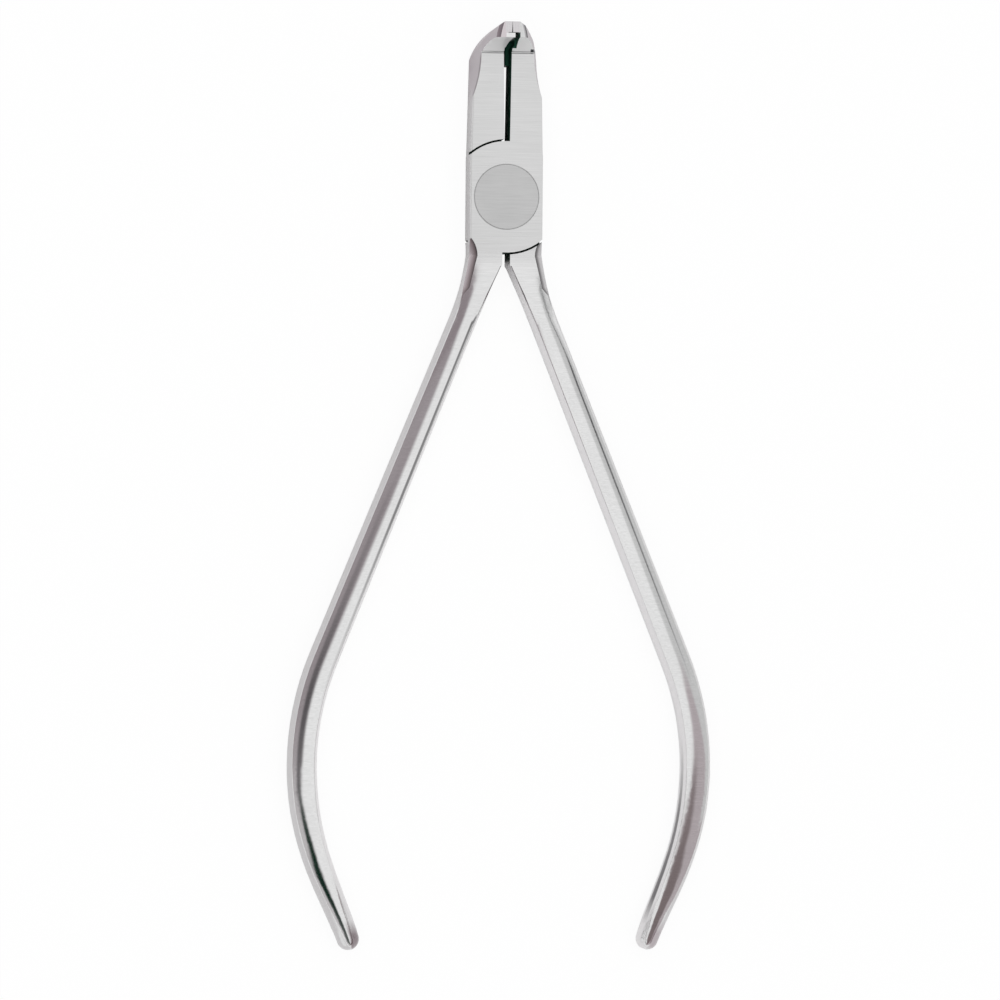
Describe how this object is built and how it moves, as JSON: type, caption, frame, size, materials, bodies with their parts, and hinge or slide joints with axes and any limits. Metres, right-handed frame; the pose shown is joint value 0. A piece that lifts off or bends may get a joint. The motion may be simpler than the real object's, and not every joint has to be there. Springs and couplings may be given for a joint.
{
  "type": "orthodontic pliers",
  "caption": "Slim hand pliers with a flush riveted lap joint, long bowed handles and raised end-cutting jaws with brazed blades.",
  "frame": {"origin": "where the pivot axis meets the flat back face of the joint", "axes": "+X across the jaws to the right seen from the front, +Y from the pivot to the cutting tips, +Z out of the front face, along the pivot"},
  "size_m": [0.0598, 0.1297, 0.011],
  "materials": {
    "satin_steel": "satin stainless steel, finely brushed across the faces",
    "rivet_steel": "stainless steel, faced flush with the joint and brushed",
    "carbide": "ground tungsten carbide, smooth and slightly darker than the steel",
    "hold_steel": "satin stainless steel"
  },
  "bodies": {
    "front_arm": {"front_half": "satin_steel", "pivot_rivet": "rivet_steel", "right_carbide_blade": "carbide", "right_wire_hold": "hold_steel"},
    "rear_arm": {"rear_half": "satin_steel", "left_carbide_blade": "carbide", "left_wire_hold": "hold_steel"}
  },
  "joints": [
    {"name": "pivot_hinge", "type": "hinge", "parent": "front_arm", "child": "rear_arm", "pos_m": [0, 0, 0.003], "axis": [0, 0, 1], "range_deg": [0, 100]}
  ]
}
